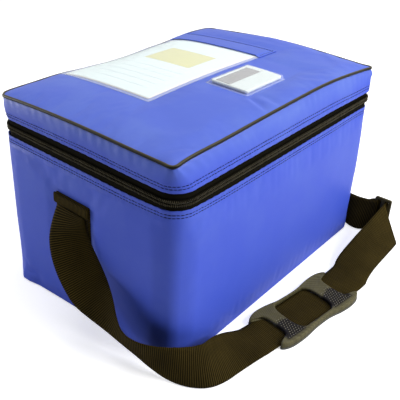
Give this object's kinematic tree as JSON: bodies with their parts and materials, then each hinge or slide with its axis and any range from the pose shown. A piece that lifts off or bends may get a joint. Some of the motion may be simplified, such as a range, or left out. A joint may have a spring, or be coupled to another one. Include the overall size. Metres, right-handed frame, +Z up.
{
  "type": "vaccine carrier",
  "caption": "Soft insulated carrier for vaccines with a zipped padded lid, label window, thermometer pouch and a webbing shoulder strap with pad.",
  "frame": {"origin": "under the middle of the base, on the surface that the bag stands on", "axes": "+X along the long side towards the end with the slide adjuster, +Y towards the lid's hinge, +Z up"},
  "size_m": [0.4845, 0.4056, 0.2797],
  "materials": {
    "shell_fabric": "satin",
    "webbing": "matte",
    "zip_tape": "matte",
    "zip_coil": "satin",
    "piping": "satin",
    "foam": "matte",
    "board": "matte",
    "lining": "satin",
    "clear_film": "gloss",
    "card": "matte",
    "case_plastic": "satin",
    "screen": "gloss",
    "slider_metal": "satin",
    "buckle": "satin",
    "pad_rubber": "matte"
  },
  "bodies": {
    "carrier": {"base_panel": "shell_fabric", "body_panel": "shell_fabric", "base_board": "board", "foam_base": "foam", "foam_front": "foam", "foam_back": "foam", "foam_left": "foam", "foam_right": "foam", "liner": "lining", "rim_binding": "lining", "zip_tape_lower": "zip_tape", "zip_coil_lower": "zip_coil", "hinge_strip_lower": "shell_fabric", "anchor_patch_left": "webbing", "anchor_patch_right": "webbing", "anchor_band_left": "webbing", "anchor_band_right": "webbing", "strap_main": "webbing", "strap_short": "webbing", "slide_adjuster": "buckle"},
    "lid": {"lid_band": "shell_fabric", "lid_top": "shell_fabric", "lid_piping": "piping", "lid_foam": "foam", "lid_liner": "lining", "zip_tape_upper": "zip_tape", "zip_coil_upper": "zip_coil", "hinge_strip_upper": "shell_fabric", "label_window": "clear_film", "header_strip": "shell_fabric", "thermometer_pouch": "clear_film"},
    "card": {"label_card": "card"},
    "thermometer": {"thermometer_case": "case_plastic", "thermometer_screen": "screen"},
    "slider_front": {"zip_slider_front": "slider_metal"},
    "slider_back": {"zip_slider_back": "slider_metal"},
    "puller_front": {"zip_puller_front": "slider_metal"},
    "puller_back": {"zip_puller_back": "slider_metal"},
    "shoulder_pad": {"pad_sole": "pad_rubber", "pad_top": "pad_rubber"}
  },
  "joints": [
    {"name": "lid_hinge", "type": "hinge", "parent": "carrier", "child": "lid", "pos_m": [0, 0.1541, 0.221], "axis": [-1, 0, 0], "range_deg": [0, 165]},
    {"name": "card_slide", "type": "slide", "parent": "lid", "child": "card", "axis": [1, 0, 0], "range_m": [0, 0.01]},
    {"name": "thermometer_slide", "type": "slide", "parent": "lid", "child": "thermometer", "axis": [1, 0, -0.0072], "range_m": [0, 0.045]},
    {"name": "front_slider_travel", "type": "slide", "parent": "carrier", "child": "slider_front", "axis": [0, -1, 0], "range_m": [0, 0.118]},
    {"name": "back_slider_travel", "type": "slide", "parent": "carrier", "child": "slider_back", "axis": [0, 1, 0], "range_m": [0, 0.092]},
    {"name": "front_puller_swing", "type": "hinge", "parent": "slider_front", "child": "puller_front", "pos_m": [0.2119, 0.004, 0.221], "axis": [0, -1, 0], "range_deg": [0, 150]},
    {"name": "back_puller_swing", "type": "hinge", "parent": "slider_back", "child": "puller_back", "pos_m": [0.2119, 0.022, 0.221], "axis": [0, -1, 0], "range_deg": [0, 150]},
    {"name": "pad_slide", "type": "slide", "parent": "carrier", "child": "shoulder_pad", "axis": [0.9903, -0.1392, 0], "range_m": [-0.008, 0.008]}
  ]
}
